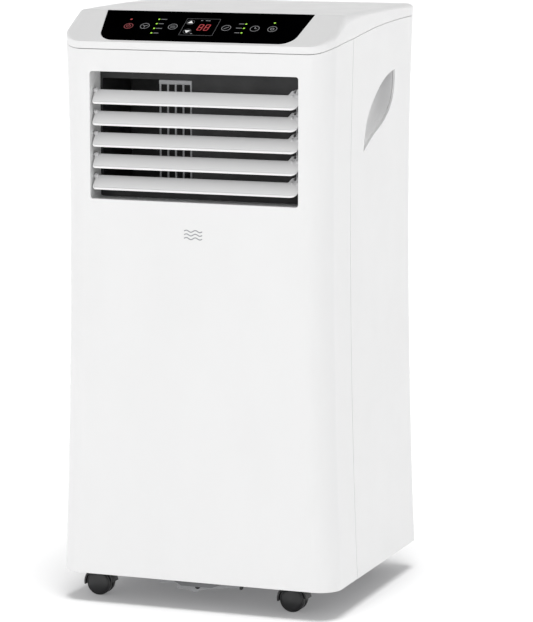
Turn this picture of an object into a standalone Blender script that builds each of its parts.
"""Portable air conditioner, modelled as the assembly of its separate pieces.

Metres, +Z up. The front, with the louvres, faces -Y and the origin is on the floor, under the
middle of the body. Each mesh object is one piece, and each moving piece turns about its own
origin or about the empty that it is parented to.
"""

import math

import bmesh
import bpy
from mathutils import Matrix, Vector

# Overall sizes
HEIGHT = 0.690
WAIST_WIDTH = 0.322
DEPTH = 0.3066
GROUND_CLEARANCE = 0.035

# Clearances, and how far a cutter reaches past the wall that it cuts
GAP = 0.0004
RUNNING_GAP = 0.0004
PAST = 0.010
PAST_WALL = 0.004

# Casing
WALL = 0.0025
COVER_WALL = 0.0030
WAIST_DROP = 0.210
BOTTOM_FLARE = 0.0103
TOP_FLARE = 0.0035
TOP_FLARE_RISE = 0.190
FRONT_CORNER_RADIUS = 0.027
REAR_CORNER_RADIUS = 0.011
FRONT_PANEL_WRAP = 0.0819
SEAM = 0.0006
CASING_ROWS = 6

# Top cover: drops below the highest point, against the distance behind the front
COVER_SEAM_DROP = (
    (0.0, 0.0420), (0.019, 0.0352), (0.083, 0.0286), (0.163, 0.0206), (0.235, 0.0168), (0.3066, 0.0153),
)
COVER_RIM_DROP = (
    (0.0, 0.0340), (0.020, 0.0270), (0.048, 0.0152), (0.085, 0.0078), (0.160, 0.0050), (0.300, 0.0054),
)
SLOPE_START_DROP = 0.0330
SLOPE_START_SETBACK = 0.0016
SLOPE_END_DROP = 0.0010
SLOPE_END_SETBACK = 0.0563
CROWN = 0.0010
COVER_FRONT_INSET = 0.0016
COVER_SIDE_INSET = 0.0090
RIM_MIDDLE_IN = 0.35
RIM_MIDDLE_UP = 0.72

# Control panel, in the plane of the slope
LENS_TOP_HALF_WIDTH = 0.1265
LENS_BOTTOM_HALF_WIDTH = 0.1195
LENS_CORNER_RADIUS = 0.020
LENS_CORNER_SWEEP = math.radians(75.0)
LENS_THICKNESS = 0.0014
LENS_POCKET = 0.0016
LENS_LOWER_MARGIN = 0.0030
LENS_UPPER_MARGIN = 0.0005
BOARD_THICKNESS = 0.0016
BOARD_HALF_WIDTH = 0.100
BOARD_MARGIN = 0.014
BOARD_DROP = 0.0065

# Air outlet
OUTLET_WIDTH = 0.253
OUTLET_HEIGHT = 0.1463
OUTLET_TOP_DROP = 0.0675
DUCT_WALL = 0.0023
DUCT_DEPTH = 0.029
DUCT_STEP = 0.0002

# Louvres
LOUVRE_COUNT = 5
LOUVRE_PITCH = 0.0246
LOUVRE_FIRST_DROP = 0.0227
LOUVRE_PIVOT_SETBACK = 0.0115
LOUVRE_REST_TILT = math.radians(31.0)
LOUVRE_CHORD = 0.0172
LOUVRE_TAIL = 0.0012
LOUVRE_THICKNESS = 0.0018
LOUVRE_LIP = 0.0032
LOUVRE_END_GAP = 0.0010
LOUVRE_RIGHT_CORNER = 0.010
LOUVRE_LEFT_CORNER = 0.004
PIVOT_PIN_RADIUS = 0.0014
PIVOT_PIN_LENGTH = 0.0038
PIVOT_PIN_ROOT = 0.0020
KNUCKLE_RADIUS = 0.0028
KNUCKLE_LENGTH = 0.0050
LUG_LENGTH = 0.012
LUG_ANGLE = math.radians(20.0)
LUG_THICKNESS = 0.0020
LUG_WIDTH = 0.0044
LUG_ROOT = 0.0010
LINK_PIN_RADIUS = 0.0012
LINK_WIDTH = 0.0052
LINK_THICKNESS = 0.0020
LINK_SIDE_GAP = 0.0015
LINK_PIN_PAST = 0.0010

# Handle recesses: a leaf outline, as distances ahead of the rear and below the top
LEAF_UPPER_TIP = (0.0700, 0.0743)
LEAF_LOWER_TIP = (0.1810, 0.1625)
LEAF_FRONT_EDGE = ((0.0990, 0.0800), (0.1285, 0.0925), (0.1600, 0.1157), (0.1728, 0.1341))
LEAF_REAR_EDGE = ((0.1470, 0.1469), (0.1080, 0.1328), (0.0835, 0.1171), (0.0720, 0.0992))
HANDLE_DEPTH = 0.024
HANDLE_WALL = 0.0020
CUP_FLOOR_SCALE = 0.97
CUP_FLANGE_SCALE = 1.07
CUP_BACK_SCALE = 1.05

# Rear intakes and filters
GRILLE_WIDTH = 0.230
GRILLE_THICKNESS = 0.0055
GRILLE_BORDER = 0.009
GRILLE_SLOTS = 11
GRILLE_COLUMNS = 2
GRILLE_BAR = 0.0050
UPPER_GRILLE_TOP_DROP = 0.060
UPPER_GRILLE_HEIGHT = 0.180
LOWER_GRILLE_BOTTOM = 0.078
LOWER_GRILLE_HEIGHT = 0.176
FILTER_THICKNESS = 0.0028
FILTER_MARGIN = 0.003
FILTER_FRAME = 0.006
FILTER_RIB = 0.004
FILTER_COLUMNS = 3
FILTER_ROWS = 2
FILTER_WINDOW_DEPTH = 0.0012

# Exhaust
EXHAUST_X = 0.0525
EXHAUST_Z = 0.335
EXHAUST_RADIUS = 0.0625
EXHAUST_WALL = 0.0025

# Drains and cord entry
DRAIN_X = -0.130
DRAIN_HEIGHT_IN_TRAY = 0.012
DRAIN_STEM_RADIUS = 0.0052
DRAIN_HEAD_RADIUS = 0.0085
DRAIN_STEM_LENGTH = 0.0080
GLAND_X = 0.136
GLAND_Z = 0.190
GLAND_RADIUS = 0.0075
GLAND_BORE = 0.0036
GLAND_LENGTH = 0.012
GLAND_FLANGE = 0.003
GLAND_NECK = 0.0012

# Base pan
PAN_LIFT = 0.0010
PAN_SKIRT = 0.010
PAN_FLOOR = 0.003
PAN_RIM = 0.023
PAN_WALL = 0.003
SUMP_HALF_WIDTH = 0.045
SUMP_DEPTH = 0.010
SUMP_FROM_WALL = 0.012
SUMP_LENGTH = 0.028
POCKET_COLUMNS = 4
POCKET_ROWS = 2
POCKET_RIB = 0.003
POCKET_TO_SOCKET = 0.028
ROOT = 0.002

# Casters
CASTER_INSET_X = 0.0500
CASTER_INSET_Y = 0.0453
WHEEL_RADIUS = 0.0150
WHEEL_WIDTH = 0.0085
WHEEL_DOME = 0.0022
CASTER_TRAIL = 0.0150
AXLE_RADIUS = 0.0018
WEB_THICKNESS = 0.0030
HOOD_THICKNESS = 0.0016
HOOD_GAP = 0.0014
STEM_RADIUS = 0.0040
STEM_LENGTH = 0.018
BOSS_RADIUS = 0.0085
SOCKET_CAP = 0.004
WEB_RADIUS = 0.0065
COLLAR_OVER_AXLE = 0.0125
COLLAR_WIDTH = 0.0015
HOOD_START = math.radians(5.0)
HOOD_SWEEP = math.radians(165.0)

# Deck between the two compartments
DECK_BELOW_OUTLET = 0.0642
DECK_FLOOR = 0.003
DECK_RIM = 0.024

# Compressor and accumulator
COMPRESSOR_FROM_SIDE = 0.073
COMPRESSOR_FROM_FRONT = 0.083
COMPRESSOR_RADIUS = 0.050
COMPRESSOR_HEIGHT = 0.200
FOOT_CIRCLE = 0.062
FOOT_RADIUS = 0.008
FOOT_HEIGHT = 0.010
STUD_RADIUS = 0.0025
STUD_PAST_FOOT = 0.007
FOOT_PLATE_REACH = 0.010
PLATE_THICKNESS = 0.003
ACCUMULATOR_BESIDE = 0.068
ACCUMULATOR_FROM_FRONT = 0.041
ACCUMULATOR_RADIUS = 0.021
ACCUMULATOR_HEIGHT = 0.130
ACCUMULATOR_LIFT = 0.046

# Coils
COIL_DEPTH = 0.034
COIL_FROM_SIDE = 0.043
COIL_BEND_RADIUS = 0.010
COIL_TUBE_RADIUS = 0.0035
COIL_BENDS = 6
CONDENSER_FROM_REAR = 0.029
CONDENSER_HEIGHT = 0.192
EVAPORATOR_FROM_REAR = 0.057
EVAPORATOR_HEIGHT = 0.210

# Refrigerant lines
DISCHARGE_RADIUS = 0.0032
SUCTION_RADIUS = 0.0045
LIQUID_RADIUS = 0.0022
PIPE_HOLE_RADIUS = 0.0062
PIPE_END_GAP = 0.0008
PIPE_EASE = 0.012
DISCHARGE_RISE = 0.035
DISCHARGE_BESIDE_COIL = 0.016
DISCHARGE_RUN_BACK = 0.060
SUCTION_BESIDE_COIL = 0.0125
SUCTION_RISE = 0.030
LIQUID_BESIDE_COIL = 0.018
DRIER_BOTTOM = 0.160
DRIER_LENGTH = 0.083
DRIER_TAPER = 0.008
DRIER_TIMES = 3.6

# Blowers
BLOWER_WALL = 0.0025
SCROLL_GROWTH = 0.030
SCROLL_TONGUE = 0.006
SCROLL_BELOW_TOP = 0.003
SCROLL_OVER_BOTTOM = 0.002
SCROLL_TO_COIL = 0.006
SCROLL_LEG_HALF = 0.020
INLET_LIP = 0.006
BLADE_COUNT = 12
HUB_RADIUS = 0.011
HUB_LENGTH = 0.014
DISC_THICKNESS = 0.002
BLADE_THICKNESS = 0.0012
BLADE_DEPTH_SHARE = 0.16
SHAFT_RADIUS = 0.004
MOTOR_RADIUS = 0.033
MOTOR_LENGTH = 0.046
EVAPORATOR_MOTOR_RADIUS = 0.028
MOTOR_ARMS = 3
MOTOR_ARM_HALF = 0.003
MOTOR_OFF_SCROLL = 0.004
EVAPORATOR_WHEEL_X = 0.038
EVAPORATOR_WHEEL_RADIUS = 0.060
EVAPORATOR_WHEEL_DROP = 0.017
EVAPORATOR_SCROLL_DEPTH = 0.088
EVAPORATOR_MOUTH_RIGHT = -0.0135
MOUTH_MARGIN_X = 0.0025
MOUTH_MARGIN_TOP = 0.0100
MOUTH_MARGIN_BOTTOM = 0.0080
CONDENSER_WHEEL_X = 0.040
CONDENSER_WHEEL_Z = 0.165
CONDENSER_WHEEL_RADIUS = 0.064
CONDENSER_SCROLL_DEPTH = 0.072
GUARD_BARS = 5
GUARD_WIDTH = 0.040
GUARD_BAR = 0.0022
GUARD_RAIL = 0.005

# Control electronics and the float
BOX_SIZE = (0.062, 0.052, 0.066)
BOX_WALL = 0.002
BOX_FRONT = -0.016
BOX_FROM_WALL = 0.006
MAIN_BOARD_MARGIN = 0.010
FLOAT_FROM_SIDE = 0.0258
FLOAT_FROM_FRONT = 0.040
FLOAT_RADIUS = 0.010
FLOAT_HEIGHT = 0.009
FLOAT_STEM_RADIUS = 0.003
FLOAT_STEM_HEIGHT = 0.020

# Derived places
FRONT = -DEPTH / 2
REAR = DEPTH / 2
WAIST_HALF = WAIST_WIDTH / 2
COIL_HALF_WIDTH = WAIST_HALF - COIL_FROM_SIDE
BOTTOM_HALF = WAIST_HALF + BOTTOM_FLARE
WAIST_Z = HEIGHT - WAIST_DROP
SEAM_Y = FRONT + FRONT_PANEL_WRAP
OUTLET_TOP = HEIGHT - OUTLET_TOP_DROP
OUTLET_BOTTOM = OUTLET_TOP - OUTLET_HEIGHT
OUTLET_HALF = OUTLET_WIDTH / 2
DUCT_FRONT = FRONT + WALL + GAP
DUCT_BACK = DUCT_FRONT + DUCT_DEPTH
PIVOT_Y = FRONT + LOUVRE_PIVOT_SETBACK
FIRST_PIVOT_Z = OUTLET_TOP - LOUVRE_FIRST_DROP
DECK_Z = OUTLET_BOTTOM - DECK_BELOW_OUTLET
PAN_BOTTOM = GROUND_CLEARANCE + PAN_LIFT
PAN_FLOOR_TOP = PAN_BOTTOM + PAN_SKIRT + PAN_FLOOR
DECK_TOP = DECK_Z + DECK_FLOOR
UPPER_GRILLE_TOP = HEIGHT - UPPER_GRILLE_TOP_DROP
COMPRESSOR_X = COMPRESSOR_FROM_SIDE - WAIST_HALF
COMPRESSOR_Y = FRONT + COMPRESSOR_FROM_FRONT
COMPRESSOR_BASE = PAN_FLOOR_TOP + FOOT_HEIGHT + GAP
ACCUMULATOR_X = COMPRESSOR_X + ACCUMULATOR_BESIDE
ACCUMULATOR_Y = FRONT + ACCUMULATOR_FROM_FRONT
FLOAT_X = BOTTOM_HALF - FLOAT_FROM_SIDE
FLOAT_Y = FRONT + FLOAT_FROM_FRONT
SOCKET_TOP = PAN_BOTTOM + STEM_LENGTH + SOCKET_CAP
CONDENSER_BACK = REAR - CONDENSER_FROM_REAR
CONDENSER_BOTTOM = SOCKET_TOP + GAP
CONDENSER_SCROLL_REAR = CONDENSER_BACK - COIL_DEPTH - SCROLL_TO_COIL
EVAPORATOR_BACK = REAR - EVAPORATOR_FROM_REAR
EVAPORATOR_SCROLL_FRONT = DUCT_BACK + GAP
EVAPORATOR_SCROLL_REAR = EVAPORATOR_SCROLL_FRONT + EVAPORATOR_SCROLL_DEPTH
EVAPORATOR_WHEEL_Z = (OUTLET_TOP + OUTLET_BOTTOM) / 2 - EVAPORATOR_WHEEL_DROP
SLOPE_ANGLE = math.atan2(SLOPE_START_DROP - SLOPE_END_DROP, SLOPE_END_SETBACK - SLOPE_START_SETBACK)
SLOPE_LENGTH = math.hypot(SLOPE_START_DROP - SLOPE_END_DROP, SLOPE_END_SETBACK - SLOPE_START_SETBACK)


# ---------------------------------------------------------------- modelling helpers


def clear_scene():
    for old in list(bpy.data.objects):
        bpy.data.objects.remove(old)


def make_material(name, colour, roughness, metallic=0.0):
    material = bpy.data.materials.new(name)
    material.use_nodes = True
    shader = material.node_tree.nodes["Principled BSDF"]
    shader.inputs["Base Color"].default_value = (*colour, 1.0)
    shader.inputs["Roughness"].default_value = roughness
    shader.inputs["Metallic"].default_value = metallic
    return material


def make_object(name, shape, material=None, recalculate=True):
    """Turns a bmesh into an object. Without a material it is a cutter or another helper."""
    if recalculate:
        bmesh.ops.recalc_face_normals(shape, faces=shape.faces)
    mesh = bpy.data.meshes.new(name)
    shape.to_mesh(mesh)
    shape.free()
    piece = bpy.data.objects.new(name, mesh)
    bpy.context.scene.collection.objects.link(piece)
    if material:
        mesh.materials.append(material)
    else:
        piece.hide_render = True
        piece.display_type = "WIRE"
    return piece


def shade_round(piece):
    piece.data.shade_smooth()
    piece.data.set_sharp_from_angle(angle=math.radians(40))


def combine(piece, operation, helper):
    modifier = piece.modifiers.new(operation.title(), "BOOLEAN")
    modifier.operation = operation
    modifier.solver = "EXACT"
    modifier.object = helper


def cut(piece, shape):
    combine(piece, "DIFFERENCE", make_object(piece.name + "_cutter", shape))


def join(piece, shape):
    combine(piece, "UNION", make_object(piece.name + "_addition", shape))


def place(axis, first, second, along):
    """A point from the two coordinates across an axis and the one along it."""
    if axis == "X":
        return Vector((along, first, second))
    if axis == "Y":
        return Vector((first, along, second))
    return Vector((first, second, along))


def add_box(shape, low, high, turn=Matrix.Identity(4)):
    low, high = Vector(low), Vector(high)
    matrix = Matrix.Translation((low + high) / 2) @ Matrix.Diagonal((*(high - low), 1.0))
    bmesh.ops.create_cube(shape, size=1.0, matrix=turn @ matrix)


def box(low, high):
    shape = bmesh.new()
    add_box(shape, low, high)
    return shape


def add_prism(shape, outline, axis, low, high):
    corners = [shape.verts.new(place(axis, a, b, low)) for a, b in outline]
    grown = bmesh.ops.extrude_face_region(shape, geom=[shape.faces.new(corners)])
    far = [item for item in grown["geom"] if isinstance(item, bmesh.types.BMVert)]
    bmesh.ops.translate(shape, verts=far, vec=place(axis, 0.0, 0.0, high - low))


def prism(outline, axis, low, high):
    shape = bmesh.new()
    add_prism(shape, outline, axis, low, high)
    bmesh.ops.recalc_face_normals(shape, faces=shape.faces)
    return shape


def add_turned(shape, profile, axis, centre, segments=20):
    """Spins a closed profile of (radius, height along the axis) round the axis through centre."""
    across = {"X": 1, "Y": 0, "Z": 0}[axis]
    direction = place(axis, 0.0, 0.0, 1.0)
    points = []
    for radius, height in profile:
        offset = Vector((0.0, 0.0, 0.0))
        offset[across] = radius
        points.append(shape.verts.new(Vector(centre) + offset + direction * height))
    on_axis = profile[0][0] == 0.0 and profile[-1][0] == 0.0
    pairs = list(zip(points, points[1:])) + ([] if on_axis else [(points[-1], points[0])])
    edges = [shape.edges.new(pair) for pair in pairs]
    bmesh.ops.spin(
        shape, geom=points + edges, cent=centre, axis=direction,
        angle=math.tau, steps=segments, use_merge=True,
    )
    bmesh.ops.remove_doubles(shape, verts=shape.verts, dist=1e-6)


def turned(profile, axis, centre, segments=20):
    shape = bmesh.new()
    add_turned(shape, profile, axis, centre, segments)
    bmesh.ops.recalc_face_normals(shape, faces=shape.faces)
    return shape


def cylinder_profile(radius, low, high):
    return [(0.0, low), (radius, low), (radius, high), (0.0, high)]


def ring_profile(inner, outer, low, high):
    return [(inner, low), (outer, low), (outer, high), (inner, high)]


def cylinder(radius, axis, centre, low, high, segments=16):
    return turned(cylinder_profile(radius, low, high), axis, centre, segments)


def smooth_value(stations, x):
    """A smooth curve through (x, value) stations, flat beyond its ends."""
    if x <= stations[0][0]:
        return stations[0][1]
    if x >= stations[-1][0]:
        return stations[-1][1]
    slopes = []
    for i in range(len(stations)):
        before, after = stations[max(i - 1, 0)], stations[min(i + 1, len(stations) - 1)]
        slopes.append((after[1] - before[1]) / (after[0] - before[0]))
    i = max(k for k in range(len(stations) - 1) if stations[k][0] <= x)
    (x0, y0), (x1, y1) = stations[i], stations[i + 1]
    span = x1 - x0
    t = (x - x0) / span
    rise = (2 * t**3 - 3 * t**2 + 1) * y0 + (3 * t**2 - 2 * t**3) * y1
    return rise + span * ((t**3 - 2 * t**2 + t) * slopes[i] + (t**3 - t**2) * slopes[i + 1])


# ---------------------------------------------------------------- casing outline


def half_width(z):
    """Half the body's width at a height: narrowest at the waist, flared below and above it."""
    if z < WAIST_Z:
        return WAIST_HALF + BOTTOM_FLARE * ((WAIST_Z - z) / (WAIST_Z - GROUND_CLEARANCE)) ** 2
    return WAIST_HALF + TOP_FLARE * ((z - WAIST_Z) / TOP_FLARE_RISE) ** 2


def seam_z(y):
    return HEIGHT - smooth_value(COVER_SEAM_DROP, y - FRONT)


def rim_z(y):
    return HEIGHT - smooth_value(COVER_RIM_DROP, y - FRONT)


def cover_top_z(y):
    """The cover's upper face: the control slope, then a slightly crowned top."""
    setback = y - FRONT
    if setback < SLOPE_END_SETBACK:
        rise = (setback - SLOPE_START_SETBACK) * math.tan(SLOPE_ANGLE)
        return HEIGHT - SLOPE_START_DROP + rise
    middle = (setback - SLOPE_END_SETBACK) / (DEPTH - SLOPE_END_SETBACK)
    return HEIGHT - SLOPE_END_DROP + CROWN * math.sin(math.pi * middle)


def corner_column(start, radius, front, steps, first, last):
    """Columns round a corner: (drop in x from the half width, y, outward normal)."""
    columns = []
    for k in range(first, last):
        angle = math.pi / 2 * k / steps
        if front:
            y = start + radius * (1 - math.cos(angle))
            columns.append((radius * (1 - math.sin(angle)), y, math.sin(angle), -math.cos(angle)))
        else:
            y = start - radius * (1 - math.sin(angle))
            columns.append((radius * (1 - math.cos(angle)), y, math.cos(angle), math.sin(angle)))
    return columns


def front_columns():
    return corner_column(FRONT, FRONT_CORNER_RADIUS, True, 6, 0, 7)


def rear_columns():
    return corner_column(REAR, REAR_CORNER_RADIUS, False, 4, 0, 5)


def side_columns(start, end, count):
    return [(0.0, start + (end - start) * k / (count - 1), 1.0, 0.0) for k in range(count)]


def casing_surface(columns, closed_at_front, bottom, gap_below_cover):
    """A wall surface through both sides' columns, from the bottom up to the cover's seam."""
    shape = bmesh.new()
    right = [(1, column) for column in columns]
    left = [(-1, column) for column in reversed(columns)]
    order = left + right if closed_at_front else right + left
    grid = []
    for row in range(CASING_ROWS + 1):
        share = row / CASING_ROWS
        line = []
        for side, (drop, y, _, _) in order:
            z = bottom + (seam_z(y) - gap_below_cover - bottom) * share
            line.append(shape.verts.new((side * (half_width(z) - drop), y, z)))
        grid.append(line)
    for low, high in zip(grid, grid[1:]):
        for i in range(len(order) - 1):
            shape.faces.new((low[i], low[i + 1], high[i + 1], high[i]))
    return shape


def thicken(piece, wall):
    modifier = piece.modifiers.new("Wall", "SOLIDIFY")
    modifier.thickness = wall
    modifier.offset = -1.0
    modifier.use_even_offset = True


# ---------------------------------------------------------------- casing


def make_front_panel(material):
    columns = front_columns() + side_columns(FRONT + FRONT_CORNER_RADIUS, SEAM_Y - SEAM / 2, 4)[1:]
    surface = casing_surface(columns, True, GROUND_CLEARANCE, SEAM / 2)
    panel = make_object("front_panel", surface, material, recalculate=False)
    thicken(panel, WALL)
    opening = box((-OUTLET_HALF, FRONT - PAST, OUTLET_BOTTOM), (OUTLET_HALF, FRONT + PAST, OUTLET_TOP))
    cut(panel, opening)
    shade_round(panel)


def make_rear_shell(material):
    columns = side_columns(SEAM_Y + SEAM / 2, REAR - REAR_CORNER_RADIUS, 6)[:-1] + rear_columns()
    surface = casing_surface(columns, False, GROUND_CLEARANCE, SEAM / 2)
    shell = make_object("rear_shell", surface, material, recalculate=False)
    thicken(shell, WALL)
    inside = REAR - WALL - PAST_WALL
    outside = REAR + PAST_WALL
    openings = bmesh.new()
    for side in (-1, 1):
        near = WAIST_HALF - WALL - PAST_WALL
        far = WAIST_HALF + TOP_FLARE + PAST_WALL
        add_prism(openings, leaf_outline(1.0), "X", side * near, side * far)
    half = GRILLE_WIDTH / 2 + GAP
    for bottom, top in grille_spans():
        add_box(openings, (-half, inside, bottom - GAP), (half, outside, top + GAP))
    exhaust = EXHAUST_RADIUS + EXHAUST_WALL + GAP
    add_turned(openings, cylinder_profile(exhaust, inside, outside), "Y", (EXHAUST_X, 0, EXHAUST_Z), 32)
    for z in drain_heights():
        drain = cylinder_profile(DRAIN_HEAD_RADIUS + GAP, inside, outside)
        add_turned(openings, drain, "Y", (DRAIN_X, 0, z), 16)
    gland = cylinder_profile(GLAND_RADIUS + GAP, inside, outside)
    add_turned(openings, gland, "Y", (GLAND_X, 0, GLAND_Z), 12)
    cut(shell, openings)
    shade_round(shell)


def cover_inset(normal_x, normal_y):
    """How far the cover's rounded edge reaches in: little at the front lip, more at the sides."""
    if normal_y < 0:
        return COVER_FRONT_INSET + (COVER_SIDE_INSET - COVER_FRONT_INSET) * abs(normal_x) ** 2
    return COVER_SIDE_INSET


def cover_ring(shape, columns, kind):
    line = []
    for side, (drop, y, normal_x, normal_y) in columns:
        inset = cover_inset(normal_x, normal_y)
        seam, rim = seam_z(y) + SEAM / 2, rim_z(y)
        share = {"seam": 0.0, "rim": 0.0, "round": RIM_MIDDLE_IN, "top": 1.0}[kind]
        depth_y = y - normal_y * inset * share
        top = cover_top_z(y - normal_y * inset)
        rim = min(rim, top)
        z = {"seam": seam, "rim": rim, "round": rim + RIM_MIDDLE_UP * (top - rim), "top": top}[kind]
        x = half_width(z) - drop - normal_x * inset * share
        line.append(shape.verts.new((side * x, depth_y, z)))
    return line


def make_top_cover(material):
    """Side walls, a rounded rim, and an upper face that is sloped at the front for the controls."""
    sides = side_columns(FRONT + FRONT_CORNER_RADIUS, REAR - REAR_CORNER_RADIUS, 9)[1:-1]
    right = front_columns() + sides + rear_columns()
    columns = [(1, column) for column in right] + [(-1, column) for column in reversed(right)]
    shape = bmesh.new()
    rings = [cover_ring(shape, columns, kind) for kind in ("seam", "rim", "round", "top")]
    count = len(columns)
    for low, high in zip(rings, rings[1:]):
        for i in range(count):
            j = (i + 1) % count
            shape.faces.new((low[i], low[j], high[j], high[i]))
    top = rings[-1]
    for i in range(len(right) - 1):
        shape.faces.new((top[i], top[i + 1], top[count - 2 - i], top[count - 1 - i]))
    cover = make_object("top_cover", shape, material)
    thicken(cover, COVER_WALL)
    pocket = prism(lens_outline(GAP), "Z", -LENS_POCKET, PAST)
    pocket.transform(slope_frame())
    cut(cover, pocket)
    shade_round(cover)


def slope_frame():
    """The control slope's frame: x across, y up the slope, z out of it."""
    origin = Vector((0.0, FRONT + SLOPE_START_SETBACK, HEIGHT - SLOPE_START_DROP))
    return Matrix.Translation(origin) @ Matrix.Rotation(SLOPE_ANGLE, 4, "X")


def lens_outline(grow):
    """A boat shape: a long straight top edge, sides that lean in, and big lower corners."""
    top = SLOPE_LENGTH - LENS_UPPER_MARGIN + grow
    bottom = LENS_LOWER_MARGIN - grow
    upper_half, lower_half = LENS_TOP_HALF_WIDTH + grow, LENS_BOTTOM_HALF_WIDTH + grow
    radius = LENS_CORNER_RADIUS
    centre = (lower_half - radius, bottom + radius)
    corner = []
    for k in range(7):
        angle = -math.pi / 2 + LENS_CORNER_SWEEP * k / 6
        corner.append((centre[0] + radius * math.cos(angle), centre[1] + radius * math.sin(angle)))
    right = corner + [(upper_half, top)]
    return right + [(-x, y) for x, y in reversed(right)]


def make_control_lens(material):
    shape = prism(lens_outline(0.0), "Z", GAP - LENS_POCKET, GAP - LENS_POCKET + LENS_THICKNESS)
    shape.transform(slope_frame())
    make_object("control_lens", shape, material)


def make_control_board(material):
    low = (-BOARD_HALF_WIDTH, BOARD_MARGIN, -BOARD_DROP - BOARD_THICKNESS)
    shape = box(low, (BOARD_HALF_WIDTH, SLOPE_LENGTH - BOARD_MARGIN, -BOARD_DROP))
    shape.transform(slope_frame())
    make_object("control_board", shape, material)


# ---------------------------------------------------------------- handle recesses


def leaf_outline(scale):
    """The handle's leaf as (y, z), scaled about its middle."""
    points = [LEAF_UPPER_TIP, *LEAF_FRONT_EDGE, LEAF_LOWER_TIP]
    front = curve_through(points)
    rear = curve_through([LEAF_LOWER_TIP, *LEAF_REAR_EDGE, LEAF_UPPER_TIP])
    outline = [(REAR - back, HEIGHT - down) for back, down in front[:-1] + rear[:-1]]
    middle_y = sum(y for y, _ in outline) / len(outline)
    middle_z = sum(z for _, z in outline) / len(outline)
    return [(middle_y + scale * (y - middle_y), middle_z + scale * (z - middle_z)) for y, z in outline]


def curve_through(points, steps=2):
    """A Catmull-Rom curve through the points."""
    found = []
    for i in range(len(points) - 1):
        a, b = points[max(i - 1, 0)], points[i]
        c, d = points[i + 1], points[min(i + 2, len(points) - 1)]
        for step in range(steps):
            t = step / steps
            weights = (2 * t**2 - t - t**3, 2 - 5 * t**2 + 3 * t**3, t + 4 * t**2 - 3 * t**3, t**3 - t**2)
            found.append(tuple(sum(w * v for w, v in zip(weights, values)) / 2 for values in zip(a, b, c, d)))
    return found + [points[-1]]


def make_handle_cup(side, name, material):
    """A closed-bottomed finger recess whose rim sits behind the side wall."""
    shape = bmesh.new()
    floor = WAIST_HALF - WALL - HANDLE_DEPTH

    def ring(scale, depth_x):
        line = []
        for y, z in leaf_outline(scale):
            x = half_width(z) - WALL - GAP if depth_x is None else depth_x
            line.append(shape.verts.new((side * x, y, z)))
        return line

    rings = [
        ring(CUP_FLOOR_SCALE, floor + HANDLE_WALL), ring(1.0, None),
        ring(CUP_FLANGE_SCALE, None), ring(CUP_BACK_SCALE, floor),
    ]
    for near, far in zip(rings, rings[1:]):
        for i in range(len(near)):
            j = (i + 1) % len(near)
            shape.faces.new((near[i], near[j], far[j], far[i]))
    shape.faces.new(rings[0])
    shape.faces.new(rings[-1])
    make_object(name, shape, material)


# ---------------------------------------------------------------- air outlet


def make_outlet_duct(material):
    inner, outer = OUTLET_HALF + DUCT_STEP, OUTLET_HALF + DUCT_STEP + DUCT_WALL
    low, high = OUTLET_BOTTOM - DUCT_STEP, OUTLET_TOP + DUCT_STEP
    sleeve = box((-outer, DUCT_FRONT, low - DUCT_WALL), (outer, DUCT_BACK, high + DUCT_WALL))
    duct = make_object("outlet_duct", sleeve, material)
    cut(duct, box((-inner, DUCT_FRONT - PAST, low), (inner, DUCT_BACK + PAST, high)))
    holes = bmesh.new()
    for k in range(LOUVRE_COUNT):
        for side in (-1, 1):
            centre = (side * (inner + outer) / 2, PIVOT_Y, FIRST_PIVOT_Z - k * LOUVRE_PITCH)
            profile = cylinder_profile(PIVOT_PIN_RADIUS + RUNNING_GAP, -DUCT_WALL, DUCT_WALL)
            add_turned(holes, profile, "X", centre, 12)
    cut(duct, holes)


def mouth():
    """The blower's outlet opening behind the louvres: left, right, bottom and top."""
    left = -OUTLET_HALF + MOUTH_MARGIN_X
    return left, EVAPORATOR_MOUTH_RIGHT, OUTLET_BOTTOM + MOUTH_MARGIN_BOTTOM, OUTLET_TOP - MOUTH_MARGIN_TOP


def make_outlet_guard(material):
    """Upright bars between a top and a bottom rail, at the inner end of the blower's outlet."""
    _, right, bottom, top = mouth()
    right, bottom, top = right - GAP, bottom + GAP, top - GAP
    left = right - GUARD_WIDTH
    front, back = EVAPORATOR_SCROLL_FRONT, EVAPORATOR_SCROLL_FRONT + BLOWER_WALL
    guard = make_object("outlet_guard", box((left, front, top - GUARD_RAIL), (right, back, top)), material)
    bars = bmesh.new()
    spacing = (GUARD_WIDTH - GUARD_BAR) / (GUARD_BARS - 1)
    for k in range(GUARD_BARS):
        x = left + k * spacing
        low = (x, front + 0.0002, bottom + GUARD_RAIL / 2)
        add_box(bars, low, (x + GUARD_BAR, back - 0.0002, top - GUARD_RAIL / 2))
    join(guard, bars)
    join(guard, box((left, front, bottom), (right, back, bottom + GUARD_RAIL)))


def blade_frame():
    """From the blade's own frame, whose y runs from the pivot to the front lip, to rest."""
    angle = math.pi + math.pi / 2 - LOUVRE_REST_TILT
    return Matrix.Rotation(angle, 4, "X")


def louvre_shape_plan(half):
    """The blade's outline: a straight tail, a wide front corner on the right and a tight one on the left."""
    outline = [(half, -LOUVRE_TAIL)]
    for side, radius in ((1, LOUVRE_RIGHT_CORNER), (-1, LOUVRE_LEFT_CORNER)):
        corner = []
        for k in range(4):
            angle = math.pi / 2 * k / 3
            x = half - radius + radius * math.cos(angle)
            corner.append((side * x, LOUVRE_CHORD - radius + radius * math.sin(angle)))
        outline += corner if side == 1 else reversed(corner)
    return outline + [(-half, -LOUVRE_TAIL)]


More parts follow.
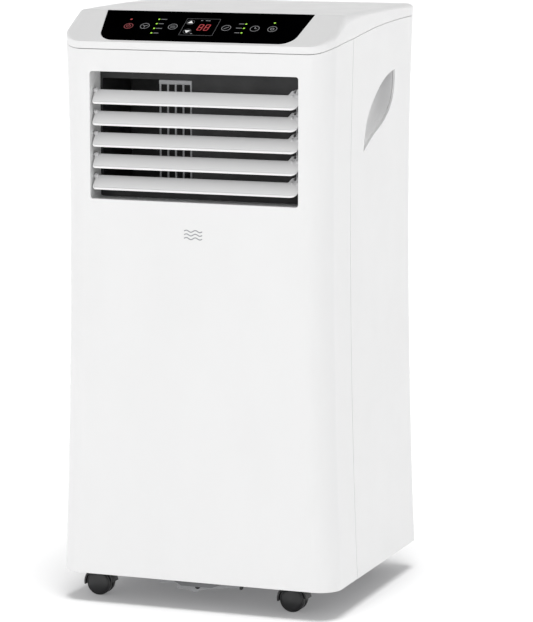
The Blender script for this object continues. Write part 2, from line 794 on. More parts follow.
def make_louvre(index, material):
    """One blade about its pivot axis, with end pins and the lug that the link drives."""
    name = f"louvre_{index + 1}"
    half = OUTLET_HALF - LOUVRE_END_GAP
    plate = prism(louvre_shape_plan(half), "Z", -LOUVRE_THICKNESS / 2, LOUVRE_THICKNESS / 2)
    plate.transform(blade_frame())
    blade = make_object(name, plate, material)
    centre = (0, LOUVRE_CHORD - LOUVRE_LIP / 2, 0)
    lip = cylinder(LOUVRE_LIP / 2, "X", centre, LOUVRE_LEFT_CORNER - half, half - LOUVRE_RIGHT_CORNER, 8)
    lip.transform(blade_frame())
    join(blade, lip)
    ends = bmesh.new()
    pin_end = half + PIVOT_PIN_LENGTH
    for side in (-1, 1):
        start, stop = sorted((side * (half - KNUCKLE_LENGTH), side * half))
        add_turned(ends, cylinder_profile(KNUCKLE_RADIUS, start, stop), "X", (0, 0, 0), 8)
    join(blade, ends)
    pins = bmesh.new()
    for side in (-1, 1):
        start, stop = sorted((side * (half - PIVOT_PIN_ROOT), side * pin_end))
        add_turned(pins, cylinder_profile(PIVOT_PIN_RADIUS, start, stop), "X", (0, 0, 0), 8)
    join(blade, pins)
    lug_x = link_x() - GAP - LUG_THICKNESS
    lug_end = (lug_x + LUG_THICKNESS, LUG_LENGTH + LUG_WIDTH / 2, LUG_WIDTH / 2)
    lug = box((lug_x, -LUG_ROOT, -LUG_WIDTH / 2), lug_end)
    lug.transform(Matrix.Rotation(LUG_ANGLE, 4, "X"))
    join(blade, lug)
    centre = (0, *lug_pin_offset())
    pin_stop = link_x() + LINK_THICKNESS + LINK_PIN_PAST
    join(blade, cylinder(LINK_PIN_RADIUS, "X", centre, lug_x + LUG_THICKNESS / 4, pin_stop, 8))
    blade.location = (0, PIVOT_Y, FIRST_PIVOT_Z - index * LOUVRE_PITCH)
    for modifier in blade.modifiers:
        modifier.object.parent = blade


def link_x():
    """The link bar's inner face, just inside the blades' knuckles."""
    return OUTLET_HALF - LOUVRE_END_GAP - KNUCKLE_LENGTH - LINK_SIDE_GAP - LINK_THICKNESS


def lug_pin_offset():
    return LUG_LENGTH * math.cos(LUG_ANGLE), LUG_LENGTH * math.sin(LUG_ANGLE)


def make_louvre_link(material):
    """The upright bar that ties the lugs together. Its origin is on the middle louvre's lug pin."""
    offset_y, offset_z = lug_pin_offset()
    reach = (LOUVRE_COUNT - 1) / 2 * LOUVRE_PITCH
    low = (link_x(), -LINK_WIDTH / 2, -reach - LINK_WIDTH / 2)
    high = (link_x() + LINK_THICKNESS, LINK_WIDTH / 2, reach + LINK_WIDTH / 2)
    bar = make_object("louvre_link", box(low, high), material)
    holes = bmesh.new()
    for k in range(LOUVRE_COUNT):
        centre = (link_x(), 0, reach - k * LOUVRE_PITCH)
        profile = cylinder_profile(LINK_PIN_RADIUS + RUNNING_GAP, -LINK_THICKNESS, 2 * LINK_THICKNESS)
        add_turned(holes, profile, "X", centre, 12)
    cut(bar, holes)
    middle = FIRST_PIVOT_Z - reach
    bar.location = (0, PIVOT_Y + offset_y, middle + offset_z)
    bar.modifiers[0].object.parent = bar


# ---------------------------------------------------------------- rear grilles, filters, fittings


def grille_spans():
    lower = (LOWER_GRILLE_BOTTOM, LOWER_GRILLE_BOTTOM + LOWER_GRILLE_HEIGHT)
    upper = (UPPER_GRILLE_TOP - UPPER_GRILLE_HEIGHT, UPPER_GRILLE_TOP)
    return lower, upper


def make_grille(name, span, material):
    """A framed panel of level slats that pulls straight off to the rear."""
    half = GRILLE_WIDTH / 2
    back = REAR - GAP
    panel = box((-half, back - GRILLE_THICKNESS, span[0]), (half, back, span[1]))
    grille = make_object(name, panel, material)
    slots = bmesh.new()
    pitch = (span[1] - span[0] - 2 * GRILLE_BORDER + GRILLE_BAR) / GRILLE_SLOTS
    column = (GRILLE_WIDTH - 2 * GRILLE_BORDER + GRILLE_BAR) / GRILLE_COLUMNS
    for row in range(GRILLE_SLOTS):
        bottom = span[0] + GRILLE_BORDER + row * pitch
        for k in range(GRILLE_COLUMNS):
            left = -half + GRILLE_BORDER + k * column
            low = (left, back - GRILLE_THICKNESS - PAST, bottom)
            add_box(slots, low, (left + column - GRILLE_BAR, back + PAST, bottom + pitch - GRILLE_BAR))
    cut(grille, slots)


def make_filter(name, span, material):
    """The washable screen in its thin frame, clipped inside the grille."""
    half = GRILLE_WIDTH / 2 - FILTER_MARGIN
    back = REAR - GAP - GRILLE_THICKNESS - GAP
    low = (-half, back - FILTER_THICKNESS, span[0] + FILTER_MARGIN)
    screen = make_object(name, box(low, (half, back, span[1] - FILTER_MARGIN)), material)
    windows = bmesh.new()
    width = (2 * half - 2 * FILTER_FRAME + FILTER_RIB) / FILTER_COLUMNS
    height = (span[1] - span[0] - 2 * FILTER_MARGIN - 2 * FILTER_FRAME + FILTER_RIB) / FILTER_ROWS
    for row in range(FILTER_ROWS):
        for k in range(FILTER_COLUMNS):
            left = -half + FILTER_FRAME + k * width
            bottom = span[0] + FILTER_MARGIN + FILTER_FRAME + row * height
            high = (left + width - FILTER_RIB, back + PAST, bottom + height - FILTER_RIB)
            add_box(windows, (left, back - FILTER_WINDOW_DEPTH, bottom), high)
    cut(screen, windows)


def make_exhaust_collar(material):
    start = CONDENSER_SCROLL_REAR + GAP
    profile = ring_profile(EXHAUST_RADIUS, EXHAUST_RADIUS + EXHAUST_WALL, start, REAR - GAP)
    collar = make_object("exhaust_collar", turned(profile, "Y", (EXHAUST_X, 0, EXHAUST_Z), 32), material)
    shade_round(collar)


def drain_heights():
    return PAN_FLOOR_TOP + DRAIN_HEIGHT_IN_TRAY, DECK_TOP + DRAIN_HEIGHT_IN_TRAY


def make_drain_plug(name, z, material):
    """A rubber plug whose head sits in the shell and whose stem closes the tray's drain."""
    head, face = REAR - WALL + GAP, REAR - GAP / 2
    profile = [
        (0.0, head - DRAIN_STEM_LENGTH), (DRAIN_STEM_RADIUS, head - DRAIN_STEM_LENGTH),
        (DRAIN_STEM_RADIUS, head), (DRAIN_HEAD_RADIUS, head), (DRAIN_HEAD_RADIUS, face), (0.0, face),
    ]
    plug = make_object(name, turned(profile, "Y", (DRAIN_X, 0, z), 16), material)
    shade_round(plug)


def make_cord_gland(material):
    """The bushed hole that the mains cord comes out of."""
    centre = (GLAND_X, 0, GLAND_Z)
    profile = ring_profile(GLAND_BORE, GLAND_RADIUS, REAR - GLAND_LENGTH, REAR - GAP)
    gland = make_object("cord_gland", turned(profile, "Y", centre, 12), material)
    flange_end = REAR - WALL - GLAND_NECK
    flange = ring_profile(GLAND_BORE, GLAND_RADIUS + GLAND_FLANGE, REAR - GLAND_LENGTH, flange_end)
    join(gland, turned(flange, "Y", centre, 12))
    shade_round(gland)


# ---------------------------------------------------------------- base pan and casters


def rounded_rectangle(half_x, low_y, high_y, shrink=0.0, steps=3):
    """A tray's outline: the casing's corner radii, and the same outline again, shrunk by a wall."""
    half_x, low_y, high_y = half_x - shrink, low_y + shrink, high_y - shrink
    outline = []
    corners = ((half_x, high_y, 0), (-half_x, high_y, 1), (-half_x, low_y, 2), (half_x, low_y, 3))
    for x, y, quarter in corners:
        radius = (REAR_CORNER_RADIUS if y == high_y else FRONT_CORNER_RADIUS) - shrink
        centre_x = x - math.copysign(radius, x)
        centre_y = y - math.copysign(radius, y)
        for k in range(steps + 1):
            angle = math.pi / 2 * (quarter + k / steps)
            outline.append((centre_x + radius * math.cos(angle), centre_y + radius * math.sin(angle)))
    return outline


def tray_limits(z_top, z_bottom):
    """Half width and ends of a tray that fits inside the casing over a span of heights."""
    narrowest = min(half_width(z_top), half_width(z_bottom), half_width(min(max(WAIST_Z, z_bottom), z_top)))
    inset = WALL + GAP
    return narrowest - inset, FRONT + inset, REAR - inset


def caster_places():
    places = {}
    width = BOTTOM_HALF - CASTER_INSET_X
    for row, y in (("front", FRONT + CASTER_INSET_Y), ("rear", REAR - CASTER_INSET_Y)):
        for side, x in (("left", -width), ("right", width)):
            places[f"{row}_{side}"] = (x, y)
    return places


def foot_places():
    angles = [math.radians(90 + 120 * k) for k in range(3)]
    reach = FOOT_CIRCLE
    return [(COMPRESSOR_X + reach * math.cos(a), COMPRESSOR_Y + reach * math.sin(a)) for a in angles]


def make_base_pan(material):
    """A tray with a ribbed underside, sockets for the casters and studs for the compressor."""
    top = PAN_FLOOR_TOP + PAN_RIM
    half, front, rear = tray_limits(top, PAN_BOTTOM)
    pan = make_object("base_pan", prism(rounded_rectangle(half, front, rear), "Z", PAN_BOTTOM, top), material)
    cut(pan, prism(rounded_rectangle(half, front, rear, PAN_WALL), "Z", PAN_FLOOR_TOP, top + PAST))
    cut(pan, underside_pockets())
    places = caster_places()
    bosses = bmesh.new()
    root = PAN_FLOOR_TOP - ROOT
    for x, y in places.values():
        add_turned(bosses, cylinder_profile(BOSS_RADIUS, root, SOCKET_TOP), "Z", (x, y, 0), 16)
    for x, y in foot_places():
        profile = cylinder_profile(STUD_RADIUS, root, PAN_FLOOR_TOP + FOOT_HEIGHT + STUD_PAST_FOOT)
        add_turned(bosses, profile, "Z", (x, y, 0), 12)
    profile = cylinder_profile(FLOAT_STEM_RADIUS, root, PAN_FLOOR_TOP + FLOAT_STEM_HEIGHT)
    add_turned(bosses, profile, "Z", (FLOAT_X, FLOAT_Y, 0), 12)
    join(pan, bosses)
    sockets = bmesh.new()
    for x, y in places.values():
        profile = cylinder_profile(STEM_RADIUS + GAP, PAN_BOTTOM - PAST, PAN_BOTTOM + STEM_LENGTH + 0.001)
        add_turned(sockets, profile, "Z", (x, y, 0), 12)
    drain = cylinder_profile(DRAIN_STEM_RADIUS + GAP, rear - PAN_WALL - PAST, rear + PAST)
    add_turned(sockets, drain, "Y", (DRAIN_X, 0, drain_heights()[0]), 16)
    cut(pan, sockets)
    sump = [
        (-SUMP_HALF_WIDTH, PAN_BOTTOM + ROOT), (-SUMP_HALF_WIDTH / 2, PAN_BOTTOM - SUMP_DEPTH),
        (SUMP_HALF_WIDTH / 3, PAN_BOTTOM - SUMP_DEPTH), (SUMP_HALF_WIDTH, PAN_BOTTOM + ROOT),
    ]
    sump_front = front + SUMP_FROM_WALL
    join(pan, prism(sump, "Y", sump_front, sump_front + SUMP_LENGTH))


def underside_pockets():
    """The hollows between the ribs under the pan, clear of the casters."""
    places = caster_places()
    reach_x = places["front_right"][0] - POCKET_TO_SOCKET
    reach_y = places["rear_right"][1] - POCKET_TO_SOCKET
    width = (2 * reach_x + POCKET_RIB) / POCKET_COLUMNS
    length = (2 * reach_y + POCKET_RIB) / POCKET_ROWS
    pockets = bmesh.new()
    for row in range(POCKET_ROWS):
        for k in range(POCKET_COLUMNS):
            left, near = -reach_x + k * width, -reach_y + row * length
            high = (left + width - POCKET_RIB, near + length - POCKET_RIB, PAN_BOTTOM + PAN_SKIRT)
            add_box(pockets, (left, near, PAN_BOTTOM - PAST), high)
    return pockets


def make_caster_housing(name, x, y, material):
    """A hooded web between the two wheels, with the stem that swivels in the base pan."""
    axle = (x - CASTER_TRAIL, WHEEL_RADIUS)
    turns = [math.tau * k / 12 for k in range(12)]
    web = [(axle[0] + WEB_RADIUS * math.cos(a), axle[1] + WEB_RADIUS * math.sin(a)) for a in turns]
    housing = make_object(name, prism(web, "Y", y - WEB_THICKNESS / 2, y + WEB_THICKNESS / 2), material)
    inner = WHEEL_RADIUS + HOOD_GAP
    outer = inner + HOOD_THICKNESS
    angles = [HOOD_START + HOOD_SWEEP * k / 8 for k in range(9)]
    arc = [(axle[0] + outer * math.cos(a), axle[1] + outer * math.sin(a)) for a in angles]
    arc += [(axle[0] + inner * math.cos(a), axle[1] + inner * math.sin(a)) for a in reversed(angles)]
    width = WEB_THICKNESS / 2 + GAP + WHEEL_WIDTH - WHEEL_DOME
    join(housing, prism(arc, "Y", y - width, y + width))
    strut = [
        (axle[0] - 0.004, axle[1] + 0.001), (axle[0] + 0.004, axle[1] - 0.001),
        (x + 0.002, axle[1] + 0.004), (x + 0.002, PAN_BOTTOM - 0.0018), (axle[0], PAN_BOTTOM - 0.0025),
    ]
    join(housing, prism(strut, "Y", y - WEB_THICKNESS / 2 - 0.0001, y + WEB_THICKNESS / 2 + 0.0001))
    low = axle[1] + COLLAR_OVER_AXLE
    collar = STEM_RADIUS + COLLAR_WIDTH
    join(housing, cylinder(collar, "Z", (x + 0.0002, y, 0), low, PAN_BOTTOM - 0.0012, 12))
    join(housing, cylinder(STEM_RADIUS, "Z", (x, y, 0), low + ROOT, PAN_BOTTOM + STEM_LENGTH, 12))
    cut(housing, cylinder(AXLE_RADIUS + GAP / 2, "Y", (axle[0], 0, axle[1]), y - PAST, y + PAST, 12))


def make_caster_axle(name, x, y, material):
    reach = WEB_THICKNESS / 2 + GAP + WHEEL_WIDTH * 0.7
    shape = cylinder(AXLE_RADIUS, "Y", (x - CASTER_TRAIL, 0, WHEEL_RADIUS), y - reach, y + reach, 12)
    make_object(name, shape, material)


def make_caster_wheel(name, x, y, side, material):
    """One domed half of the twin wheel, about its own origin on the axle."""
    start = WEB_THICKNESS / 2 + GAP
    bore = AXLE_RADIUS + RUNNING_GAP
    bore_end = start + WHEEL_WIDTH * 0.75
    rim = start + WHEEL_WIDTH - WHEEL_DOME
    profile = [
        (0.0, bore_end), (bore, bore_end), (bore, start), (WHEEL_RADIUS - 0.001, start),
        (WHEEL_RADIUS, start + 0.001), (WHEEL_RADIUS, rim - 0.001),
        (WHEEL_RADIUS * 0.93, rim + WHEEL_DOME * 0.3), (WHEEL_RADIUS * 0.6, start + WHEEL_WIDTH - 0.0004),
        (0.0, start + WHEEL_WIDTH),
    ]
    wheel = make_object(name, turned([(r, side * h) for r, h in profile], "Y", (0, 0, 0), 16), material)
    wheel.location = (x - CASTER_TRAIL, y, WHEEL_RADIUS)
    shade_round(wheel)


def make_casters(black, steel):
    for place_name, (x, y) in caster_places().items():
        make_caster_housing(f"caster_{place_name}_housing", x, y, black)
        make_caster_axle(f"caster_{place_name}_axle", x, y, steel)
        make_caster_wheel(f"caster_{place_name}_wheel_outer", x, y, -1, black)
        make_caster_wheel(f"caster_{place_name}_wheel_inner", x, y, 1, black)


# ---------------------------------------------------------------- inside: deck and refrigeration


def pipe_places():
    """Where the suction and liquid lines cross the deck."""
    y = EVAPORATOR_BACK - COIL_DEPTH / 2 - ROOT
    coil_end = COIL_HALF_WIDTH + COIL_BEND_RADIUS
    return (-coil_end - SUCTION_BESIDE_COIL, y), (coil_end + LIQUID_BESIDE_COIL, y)


def make_partition_deck(material):
    """The drip tray that divides the warm lower compartment from the cold upper one."""
    top = DECK_TOP + DECK_RIM - DECK_FLOOR
    half, front, rear = tray_limits(top, DECK_Z)
    outline = rounded_rectangle(half, front, rear)
    deck = make_object("partition_deck", prism(outline, "Z", DECK_Z, top), material)
    cut(deck, prism(rounded_rectangle(half, front, rear, PAN_WALL), "Z", DECK_TOP, top + PAST))
    holes = bmesh.new()
    for x, y in pipe_places():
        profile = cylinder_profile(PIPE_HOLE_RADIUS, DECK_Z - PAST, DECK_TOP + PAST)
        add_turned(holes, profile, "Z", (x, y, 0), 12)
    drain = cylinder_profile(DRAIN_STEM_RADIUS + GAP, rear - PAN_WALL - PAST, rear + PAST)
    add_turned(holes, drain, "Y", (DRAIN_X, 0, drain_heights()[1]), 16)
    cut(deck, holes)


def make_compressor(material):
    centre = (COMPRESSOR_X, COMPRESSOR_Y, 0)
    base = COMPRESSOR_BASE
    top = base + COMPRESSOR_HEIGHT
    radius = COMPRESSOR_RADIUS
    profile = [
        (0.0, base), (radius * 0.9, base), (radius, base + 0.010), (radius, top - 0.030),
        (radius * 0.93, top - 0.014), (radius * 0.7, top - 0.003), (radius * 0.3, top), (0.0, top),
    ]
    body = make_object("compressor", turned(profile, "Z", centre, 20), material)
    plate = []
    for x, y in foot_places():
        heading = math.atan2(y - centre[1], x - centre[0])
        for turn in (-60, 0, 60):
            angle = heading + math.radians(turn)
            plate.append((x + FOOT_PLATE_REACH * math.cos(angle), y + FOOT_PLATE_REACH * math.sin(angle)))
    join(body, prism(plate, "Z", base + 0.0002, base + PLATE_THICKNESS))
    holes = bmesh.new()
    for x, y in foot_places():
        add_turned(holes, cylinder_profile(STUD_RADIUS + GAP, base - PAST, base + PAST), "Z", (x, y, 0), 12)
    cut(body, holes)
    shade_round(body)


def make_compressor_feet(material):
    for index, (x, y) in enumerate(foot_places()):
        low, high = PAN_FLOOR_TOP + GAP, PAN_FLOOR_TOP + FOOT_HEIGHT
        bore, waist = STUD_RADIUS + GAP, FOOT_RADIUS * 0.8
        profile = [
            (bore, low), (FOOT_RADIUS, low), (FOOT_RADIUS, low + 0.003), (waist, low + 0.0045),
            (waist, high - 0.003), (FOOT_RADIUS, high - 0.0015), (FOOT_RADIUS, high), (bore, high),
        ]
        foot = make_object(f"compressor_foot_{index + 1}", turned(profile, "Z", (x, y, 0), 16), material)
        shade_round(foot)


def make_accumulator(material):
    x, y = ACCUMULATOR_X, ACCUMULATOR_Y
    low = PAN_FLOOR_TOP + ACCUMULATOR_LIFT
    high, radius = low + ACCUMULATOR_HEIGHT, ACCUMULATOR_RADIUS
    profile = [
        (0.0, low), (radius * 0.4, low), (radius, low + 0.014), (radius, high - 0.014),
        (radius * 0.4, high), (0.0, high),
    ]
    tank = make_object("accumulator", turned(profile, "Z", (x, y, 0), 20), material)
    bridge_z = low + ACCUMULATOR_HEIGHT / 2
    towards = Vector((COMPRESSOR_X - x, COMPRESSOR_Y - y, 0))
    reach = towards.length - COMPRESSOR_RADIUS - 2 * GAP
    bridge = box((radius - 0.003, -0.006, bridge_z - 0.010), (reach, 0.006, bridge_z + 0.010))
    turn = Matrix.Rotation(math.atan2(towards.y, towards.x), 4, "Z")
    bridge.transform(Matrix.Translation((x, y, 0)) @ turn)
    join(tank, bridge)
    shade_round(tank)


def make_coil(name, y_back, z_low, height, material):
    """A finned block with its return bends showing at both ends."""
    front = y_back - COIL_DEPTH
    block = box((-COIL_HALF_WIDTH, front, z_low), (COIL_HALF_WIDTH, y_back, z_low + height))
    coil = make_object(name, block, material)
    hairpins = bmesh.new()
    spacing = height / COIL_BENDS
    middle = (front + y_back) / 2
    for side in (-1, 1):
        for k in range(COIL_BENDS):
            z = z_low + spacing * (k + 0.5)
            end = side * (COIL_HALF_WIDTH + COIL_BEND_RADIUS)
            inner, outer = COIL_BEND_RADIUS / 2, COIL_BEND_RADIUS
            start = side * (COIL_HALF_WIDTH - 0.002)
            loop = [
                (start, z - outer), (end - side * 0.004, z - outer), (end, z - outer + 0.004),
                (end, z + outer - 0.004), (end - side * 0.004, z + outer), (start, z + outer),
                (start, z + inner), (end - side * 0.006, z), (start, z - inner),
            ]
            add_prism(hairpins, loop, "Y", middle - COIL_TUBE_RADIUS, middle + COIL_TUBE_RADIUS)
    join(coil, hairpins)


def make_pipe(name, points, radius, material, wide=None):
    """A tube through the points, with its corners eased. wide is (first, last, factor)."""
    eased = []
    for i, point in enumerate(points):
        point = Vector(point)
        if i in (0, len(points) - 1):
            eased.append(point)
            continue
        before, after = Vector(points[i - 1]), Vector(points[i + 1])
        ease = min(PIPE_EASE, (before - point).length / 2.5, (after - point).length / 2.5)
        start = point + (before - point).normalized() * ease
        stop = point + (after - point).normalized() * ease
        eased += [start, (start + stop) / 4 + point / 2, stop]
    curve = bpy.data.curves.new(name, "CURVE")
    curve.dimensions = "3D"
    curve.bevel_depth = radius
    curve.bevel_resolution = 1
    curve.use_fill_caps = True
    spline = curve.splines.new("POLY")
    spline.points.add(len(eased) - 1)
    for index, (slot, point) in enumerate(zip(spline.points, eased)):
        slot.co = (*point, 1.0)
        if wide and wide[0] <= index <= wide[1]:
            slot.radius = wide[2]
    piece = bpy.data.objects.new(name, curve)
    bpy.context.scene.collection.objects.link(piece)
    curve.materials.append(material)


def make_pipes(copper):
    """Refrigerant lines from compressor to condenser, evaporator to accumulator, and the liquid line."""
    compressor_top = COMPRESSOR_BASE + COMPRESSOR_HEIGHT
    condenser_y = CONDENSER_BACK - COIL_DEPTH / 2
    half_bend = CONDENSER_HEIGHT / COIL_BENDS / 2
    coil_end = COIL_HALF_WIDTH + COIL_BEND_RADIUS
    joint_x = coil_end + PIPE_END_GAP
    run_z = compressor_top + DISCHARGE_RISE
    side_x = -coil_end - DISCHARGE_BESIDE_COIL
    entry = CONDENSER_BOTTOM + CONDENSER_HEIGHT - half_bend
    discharge = [
        (COMPRESSOR_X, COMPRESSOR_Y, compressor_top + GAP), (COMPRESSOR_X, COMPRESSOR_Y, run_z),
        (side_x, COMPRESSOR_Y + DISCHARGE_RUN_BACK, run_z), (side_x, condenser_y, run_z),
        (side_x, condenser_y, entry), (-joint_x, condenser_y, entry),
    ]
    make_pipe("discharge_pipe", discharge, DISCHARGE_RADIUS, copper)
    (suction_x, suction_y), (liquid_x, liquid_y) = pipe_places()
    evaporator_entry = DECK_TOP + GAP + EVAPORATOR_HEIGHT / COIL_BENDS / 2
    accumulator_top = PAN_FLOOR_TOP + ACCUMULATOR_LIFT + ACCUMULATOR_HEIGHT
    upper_run = run_z + SUCTION_RISE
    suction = [
        (-joint_x, suction_y, evaporator_entry), (suction_x, suction_y, evaporator_entry),
        (suction_x, suction_y, upper_run), (suction_x, ACCUMULATOR_Y, upper_run),
        (ACCUMULATOR_X, ACCUMULATOR_Y, upper_run), (ACCUMULATOR_X, ACCUMULATOR_Y, accumulator_top + GAP),
    ]
    make_pipe("suction_pipe", suction, SUCTION_RADIUS, copper)
    start = CONDENSER_BOTTOM + half_bend
    drier_top = DRIER_BOTTOM + DRIER_LENGTH
    drier = [DRIER_BOTTOM, DRIER_BOTTOM + DRIER_TAPER, drier_top - DRIER_TAPER, drier_top]
    liquid = [(joint_x, condenser_y, start), (liquid_x, condenser_y, start), (liquid_x, liquid_y, start)]
    liquid += [(liquid_x, liquid_y, z) for z in (*drier, evaporator_entry)]
    liquid.append((joint_x, liquid_y, evaporator_entry))
    make_pipe("liquid_line", liquid, LIQUID_RADIUS, copper, wide=(10, 15, DRIER_TIMES))


# ---------------------------------------------------------------- inside: blowers


def spiral(centre, start, stop, near, far, inset, steps=14):
    """A scroll's curved wall, from angle start to stop in degrees, growing from near to far."""
    points = []
    for k in range(steps + 1):
        angle = math.radians(start + (stop - start) * k / steps)
        radius = near + (far - near) * k / steps - inset
        points.append((centre[0] + radius * math.cos(angle), centre[1] + radius * math.sin(angle)))
    return points


def evaporator_outline(inset):
    """Round the wheel, then out to the left behind the louvres."""
    centre = (EVAPORATOR_WHEEL_X, EVAPORATOR_WHEEL_Z)
    top = OUTLET_TOP - SCROLL_BELOW_TOP - inset
    far = top + inset - centre[1]
    curve = spiral(centre, -150, 90, EVAPORATOR_WHEEL_RADIUS + SCROLL_TONGUE, far, inset)
    left = -OUTLET_HALF + inset
    return curve + [(left, top), (left, OUTLET_BOTTOM + SCROLL_OVER_BOTTOM + inset)]


def make_evaporator_scroll(material):
    front, rear = EVAPORATOR_SCROLL_FRONT, EVAPORATOR_SCROLL_REAR
    scroll = make_object("evaporator_scroll", prism(evaporator_outline(0.0), "Y", front, rear), material)
    leg_low = (EVAPORATOR_WHEEL_X - SCROLL_LEG_HALF, rear - 0.030, DECK_TOP + GAP)
    leg_top = EVAPORATOR_WHEEL_Z - EVAPORATOR_WHEEL_RADIUS
    join(scroll, box(leg_low, (EVAPORATOR_WHEEL_X + SCROLL_LEG_HALF, rear - 0.001, leg_top)))
    plate_half = OUTLET_HALF + DUCT_WALL
    plate_low = (-plate_half, front, OUTLET_BOTTOM - DUCT_WALL)
    join(scroll, box(plate_low, (plate_half, front + BLOWER_WALL, OUTLET_TOP + DUCT_WALL)))
    cut(scroll, prism(evaporator_outline(BLOWER_WALL), "Y", front + BLOWER_WALL, rear - BLOWER_WALL))
    left, right, bottom, top = mouth()
    cut(scroll, box((left, front - PAST, bottom), (right, front + BLOWER_WALL + 0.001, top)))
    centre = (EVAPORATOR_WHEEL_X, 0, EVAPORATOR_WHEEL_Z)
    inlet = EVAPORATOR_WHEEL_RADIUS - INLET_LIP
    cut(scroll, cylinder(inlet, "Y", centre, rear - BLOWER_WALL - PAST, rear + PAST, 24))


def make_blower_wheel(name, centre_x, centre_z, radius, low, high, material):
    """A squirrel-cage wheel: a backing disc with its hub, a ring of blades and an open end ring."""
    bore = SHAFT_RADIUS + RUNNING_GAP
    shape = turned(
        [
            (bore, low), (radius, low), (radius, low + DISC_THICKNESS), (HUB_RADIUS, low + DISC_THICKNESS),
            (HUB_RADIUS, low + HUB_LENGTH), (bore, low + HUB_LENGTH),
        ],
        "Y", (0, 0, 0), 20,
    )
    wheel = make_object(name, shape, material)
    depth = radius * BLADE_DEPTH_SHARE
    half = BLADE_THICKNESS / 2
    blades = bmesh.new()
    for k in range(BLADE_COUNT):
        turn = Matrix.Rotation(math.tau * k / BLADE_COUNT, 4, "Y")
        add_box(blades, (radius - depth, low + 0.001, -half), (radius - 0.0008, high - 0.001, half), turn)
    join(wheel, blades)
    join(wheel, turned(ring_profile(radius - depth - 0.001, radius, high - 0.003, high), "Y", (0, 0, 0), 20))
    wheel.location = (centre_x, 0, centre_z)
    for modifier in wheel.modifiers:
        modifier.object.parent = wheel
    shade_round(wheel)


def make_motor(name, centre_x, centre_z, face, towards, shaft, radius, material):
    """A can motor whose shaft reaches from its face into the wheel."""
    end = face + towards * MOTOR_LENGTH
    profile = [
        (0.0, shaft), (SHAFT_RADIUS, shaft), (SHAFT_RADIUS, face), (radius - 0.004, face),
        (radius, face + towards * 0.004), (radius, end - towards * 0.006), (radius * 0.6, end), (0.0, end),
    ]
    motor = make_object(name, turned(profile, "Y", (centre_x, 0, centre_z), 20), material)
    shade_round(motor)
    return motor


def make_evaporator_blower(housing, wheel, motor):
    make_evaporator_scroll(housing)
    low, high = EVAPORATOR_SCROLL_FRONT + 0.010, EVAPORATOR_SCROLL_REAR - 0.012
    centre = (EVAPORATOR_WHEEL_X, EVAPORATOR_WHEEL_Z)
    make_blower_wheel("evaporator_wheel", *centre, EVAPORATOR_WHEEL_RADIUS, low, high, wheel)
    face = EVAPORATOR_SCROLL_REAR + MOTOR_OFF_SCROLL
    unit = make_motor("evaporator_motor", *centre, face, 1, low + 0.001, EVAPORATOR_MOTOR_RADIUS, motor)
    arms = bmesh.new()
    for k in range(MOTOR_ARMS):
        turn = Matrix.Rotation(math.radians(30) + math.tau * k / MOTOR_ARMS, 4, "Y")
        turn = Matrix.Translation((EVAPORATOR_WHEEL_X, 0, EVAPORATOR_WHEEL_Z)) @ turn
        arm_end = (EVAPORATOR_WHEEL_RADIUS + 0.003, face + 0.008, MOTOR_ARM_HALF)
        add_box(arms, (0.020, EVAPORATOR_SCROLL_REAR + GAP, -MOTOR_ARM_HALF), arm_end, turn)
    join(unit, arms)


def condenser_outline(inset):
    """Round the wheel and up into the square box that feeds the exhaust collar."""
    centre = (CONDENSER_WHEEL_X, CONDENSER_WHEEL_Z)
    near, far = CONDENSER_WHEEL_RADIUS + SCROLL_TONGUE, CONDENSER_WHEEL_RADIUS + SCROLL_GROWTH
    curve = spiral(centre, 150, 360, near, far, inset)
    reach = EXHAUST_RADIUS + EXHAUST_WALL + 0.005
    right = centre[0] + far - inset
    left = EXHAUST_X - reach - 0.006 + inset
    top = EXHAUST_Z + reach - inset
    return curve + [(right, top), (left, top), (left, EXHAUST_Z - reach + inset)]


def make_condenser_blower(housing, wheel, motor):
    rear = CONDENSER_SCROLL_REAR
    front = rear - CONDENSER_SCROLL_DEPTH
    scroll = make_object("condenser_scroll", prism(condenser_outline(0.0), "Y", front, rear), housing)
    leg_low = (CONDENSER_WHEEL_X - SCROLL_LEG_HALF, front + 0.001, PAN_FLOOR_TOP + GAP)
    leg_top = CONDENSER_WHEEL_Z - CONDENSER_WHEEL_RADIUS - 0.004
    join(scroll, box(leg_low, (CONDENSER_WHEEL_X + SCROLL_LEG_HALF, rear - 0.001, leg_top)))
    cut(scroll, prism(condenser_outline(BLOWER_WALL), "Y", front + BLOWER_WALL, rear - BLOWER_WALL))
    centre = (CONDENSER_WHEEL_X, 0, CONDENSER_WHEEL_Z)
    holes = bmesh.new()
    inner = rear - BLOWER_WALL - PAST_WALL
    inlet = cylinder_profile(CONDENSER_WHEEL_RADIUS - 0.008, inner, rear + PAST)
    add_turned(holes, inlet, "Y", centre, 24)
    outlet = cylinder_profile(EXHAUST_RADIUS - 0.001, inner, rear + PAST)
    add_turned(holes, outlet, "Y", (EXHAUST_X, 0, EXHAUST_Z), 24)
    add_turned(holes, cylinder_profile(SHAFT_RADIUS + 0.002, front - PAST, front + PAST), "Y", centre, 12)
    cut(scroll, holes)
    low, high = front + 0.008, rear - 0.008
    make_blower_wheel("condenser_wheel", *centre[::2], CONDENSER_WHEEL_RADIUS, low, high, wheel)
    make_motor("condenser_motor", *centre[::2], front - GAP, -1, low + 0.012, MOTOR_RADIUS, motor)


# ---------------------------------------------------------------- inside: electronics and float


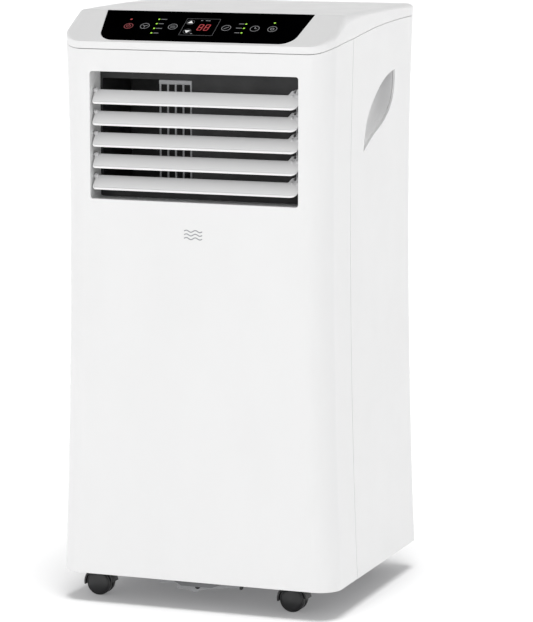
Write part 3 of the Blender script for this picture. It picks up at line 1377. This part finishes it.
def make_electrical_box(plastic, board):
    width, depth, height = BOX_SIZE
    right = WAIST_HALF - WALL - BOX_FROM_WALL
    low = Vector((right - width, BOX_FRONT, DECK_TOP + DECK_RIM))
    high = low + Vector((width, depth, height))
    case = make_object("electrical_box", box(low, high), plastic)
    wall = Vector((BOX_WALL, BOX_WALL, BOX_WALL))
    cut(case, box(low + wall, high - wall + Vector((PAST, 0, 0))))
    margin = MAIN_BOARD_MARGIN
    stand = low + Vector((margin, margin, margin))
    size = Vector((BOARD_THICKNESS, depth - 2 * margin, height - 2 * margin))
    make_object("main_board", box(stand, stand + size), board)


def make_float(material):
    low = PAN_FLOOR_TOP + GAP
    profile = ring_profile(FLOAT_STEM_RADIUS + RUNNING_GAP, FLOAT_RADIUS, low, low + FLOAT_HEIGHT)
    bob = make_object("float_bob", turned(profile, "Z", (FLOAT_X, FLOAT_Y, 0), 16), material)
    shade_round(bob)


# ---------------------------------------------------------------- assembly


def build():
    clear_scene()
    white = make_material("white_casing", (0.88, 0.88, 0.88), 0.35)
    white_trim = make_material("white_trim", (0.84, 0.84, 0.84), 0.4)
    gloss_black = make_material("gloss_black", (0.008, 0.008, 0.009), 0.08)
    black = make_material("black_plastic", (0.012, 0.012, 0.013), 0.35)
    dark = make_material("dark_grey_plastic", (0.035, 0.035, 0.037), 0.6)
    grey = make_material("grey_plastic", (0.35, 0.35, 0.36), 0.5)
    rubber = make_material("rubber", (0.02, 0.02, 0.02), 0.8)
    steel = make_material("steel", (0.55, 0.55, 0.55), 0.3, 1.0)
    painted = make_material("black_enamel", (0.015, 0.015, 0.016), 0.3)
    aluminium = make_material("aluminium", (0.75, 0.76, 0.78), 0.35, 1.0)
    copper = make_material("copper", (0.72, 0.32, 0.18), 0.3, 1.0)
    board = make_material("circuit_board", (0.02, 0.12, 0.05), 0.5)
    foam = make_material("white_foam", (0.8, 0.8, 0.8), 0.9)
    mesh_grey = make_material("filter_mesh", (0.05, 0.05, 0.055), 0.7)

    make_front_panel(white)
    make_rear_shell(white)
    make_top_cover(white)
    make_control_lens(gloss_black)
    make_control_board(board)
    make_handle_cup(-1, "handle_cup_left", grey)
    make_handle_cup(1, "handle_cup_right", grey)
    make_outlet_duct(white_trim)
    make_outlet_guard(grey)
    for index in range(LOUVRE_COUNT):
        make_louvre(index, white)
    make_louvre_link(white_trim)

    lower_span, upper_span = grille_spans()
    make_grille("lower_grille", lower_span, white)
    make_grille("upper_grille", upper_span, white)
    make_filter("lower_filter", lower_span, mesh_grey)
    make_filter("upper_filter", upper_span, mesh_grey)
    make_exhaust_collar(white_trim)
    lower_drain, upper_drain = drain_heights()
    make_drain_plug("lower_drain_plug", lower_drain, rubber)
    make_drain_plug("upper_drain_plug", upper_drain, rubber)
    make_cord_gland(black)

    make_base_pan(grey)
    make_casters(black, steel)
    make_float(foam)

    make_partition_deck(foam)
    make_compressor(painted)
    make_compressor_feet(rubber)
    make_accumulator(painted)
    make_coil("condenser_coil", CONDENSER_BACK, CONDENSER_BOTTOM, CONDENSER_HEIGHT, aluminium)
    make_coil("evaporator_coil", EVAPORATOR_BACK, DECK_TOP + GAP, EVAPORATOR_HEIGHT, aluminium)
    make_pipes(copper)
    make_evaporator_blower(dark, black, steel)
    make_condenser_blower(foam, black, steel)
    make_electrical_box(grey, board)


build()
